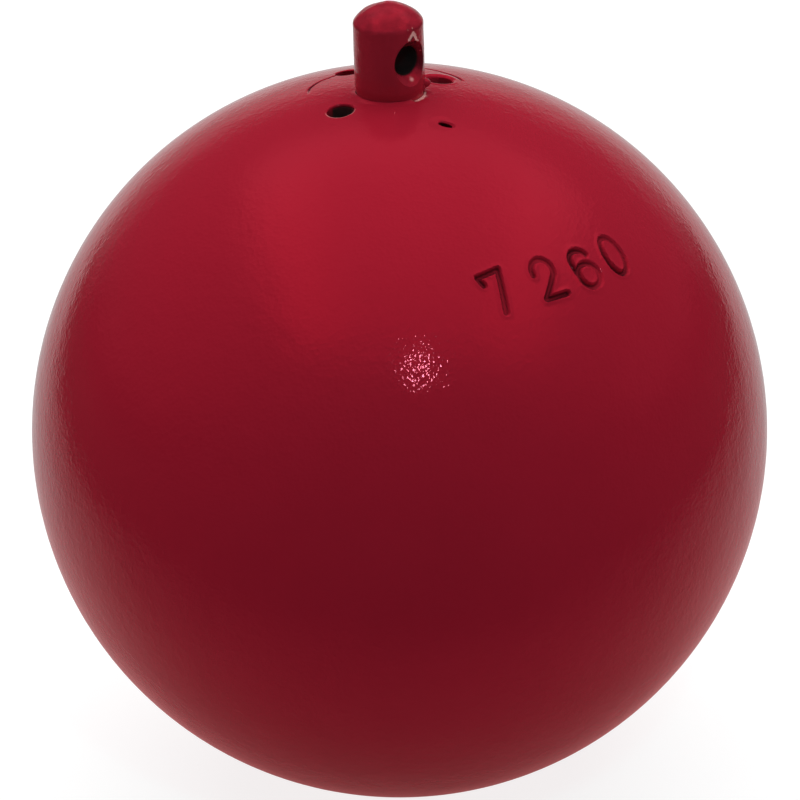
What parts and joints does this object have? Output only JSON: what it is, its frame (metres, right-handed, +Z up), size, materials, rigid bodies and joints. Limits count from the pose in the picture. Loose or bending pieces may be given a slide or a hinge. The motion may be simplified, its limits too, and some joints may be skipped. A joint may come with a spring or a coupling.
{
  "type": "throwing hammer head",
  "caption": "Head of a throwing hammer: a painted iron ball with a ball-bearing swivel, whose domed spindle has a countersunk eye for the wire.",
  "frame": {"origin": "middle of the wire eye, where the cross hole meets the swivel axis", "axes": "+Z up along the swivel axis, the way the wire pulls; -Y towards the viewer of the picture"},
  "size_m": [0.122, 0.122, 0.1365],
  "materials": {
    "red_enamel": "gloss",
    "bearing_steel": "polished",
    "pressed_steel": "satin",
    "zinc_plate": "satin",
    "black_steel": "satin",
    "black_rubber": "matte"
  },
  "bodies": {
    "spindle": {"spindle": "red_enamel", "shaft_washer": "bearing_steel", "nut_washer": "zinc_plate", "castle_nut": "zinc_plate", "split_pin": "zinc_plate"},
    "head": {"ball_body": "red_enamel", "swivel_plug": "red_enamel", "dust_seal": "black_rubber", "housing_washer": "bearing_steel", "lock_screw_1": "black_steel", "lock_screw_2": "black_steel"},
    "cage": {"bearing_cage": "pressed_steel"},
    "ball_1": {"bearing_ball_1": "bearing_steel"},
    "ball_2": {"bearing_ball_2": "bearing_steel"},
    "ball_3": {"bearing_ball_3": "bearing_steel"},
    "ball_4": {"bearing_ball_4": "bearing_steel"},
    "ball_5": {"bearing_ball_5": "bearing_steel"},
    "ball_6": {"bearing_ball_6": "bearing_steel"},
    "ball_7": {"bearing_ball_7": "bearing_steel"},
    "ball_8": {"bearing_ball_8": "bearing_steel"},
    "ball_9": {"bearing_ball_9": "bearing_steel"}
  },
  "joints": [
    {"name": "swivel", "type": "hinge", "parent": "spindle", "child": "head", "pos_m": [0, 0, 0], "axis": [0, 0, 1], "continuous": true},
    {"name": "cage_orbit", "type": "hinge", "parent": "spindle", "child": "cage", "pos_m": [0, 0, -0.02289], "axis": [0, 0, 1], "continuous": true},
    {"name": "ball_1_roll", "type": "hinge", "parent": "cage", "child": "ball_1", "pos_m": [0, -0.0085, -0.02289], "axis": [0, -1, 0], "continuous": true},
    {"name": "ball_2_roll", "type": "hinge", "parent": "cage", "child": "ball_2", "pos_m": [0.00546, -0.00651, -0.02289], "axis": [0.6428, -0.766, 0], "continuous": true},
    {"name": "ball_3_roll", "type": "hinge", "parent": "cage", "child": "ball_3", "pos_m": [0.00837, -0.00148, -0.02289], "axis": [0.9848, -0.1736, 0], "continuous": true},
    {"name": "ball_4_roll", "type": "hinge", "parent": "cage", "child": "ball_4", "pos_m": [0.00736, 0.00425, -0.02289], "axis": [0.866, 0.5, 0], "continuous": true},
    {"name": "ball_5_roll", "type": "hinge", "parent": "cage", "child": "ball_5", "pos_m": [0.00291, 0.00799, -0.02289], "axis": [0.342, 0.9397, 0], "continuous": true},
    {"name": "ball_6_roll", "type": "hinge", "parent": "cage", "child": "ball_6", "pos_m": [-0.00291, 0.00799, -0.02289], "axis": [-0.342, 0.9397, 0], "continuous": true},
    {"name": "ball_7_roll", "type": "hinge", "parent": "cage", "child": "ball_7", "pos_m": [-0.00736, 0.00425, -0.02289], "axis": [-0.866, 0.5, 0], "continuous": true},
    {"name": "ball_8_roll", "type": "hinge", "parent": "cage", "child": "ball_8", "pos_m": [-0.00837, -0.00148, -0.02289], "axis": [-0.9848, -0.1736, 0], "continuous": true},
    {"name": "ball_9_roll", "type": "hinge", "parent": "cage", "child": "ball_9", "pos_m": [-0.00546, -0.00651, -0.02289], "axis": [-0.6428, -0.766, 0], "continuous": true}
  ],
  "couplings": [
    {"joint": "cage_orbit", "follows": "swivel", "ratio": 0.5},
    {"joint": "ball_1_roll", "follows": "swivel", "ratio": -1.7857},
    {"joint": "ball_2_roll", "follows": "swivel", "ratio": -1.7857},
    {"joint": "ball_3_roll", "follows": "swivel", "ratio": -1.7857},
    {"joint": "ball_4_roll", "follows": "swivel", "ratio": -1.7857},
    {"joint": "ball_5_roll", "follows": "swivel", "ratio": -1.7857},
    {"joint": "ball_6_roll", "follows": "swivel", "ratio": -1.7857},
    {"joint": "ball_7_roll", "follows": "swivel", "ratio": -1.7857},
    {"joint": "ball_8_roll", "follows": "swivel", "ratio": -1.7857},
    {"joint": "ball_9_roll", "follows": "swivel", "ratio": -1.7857}
  ]
}
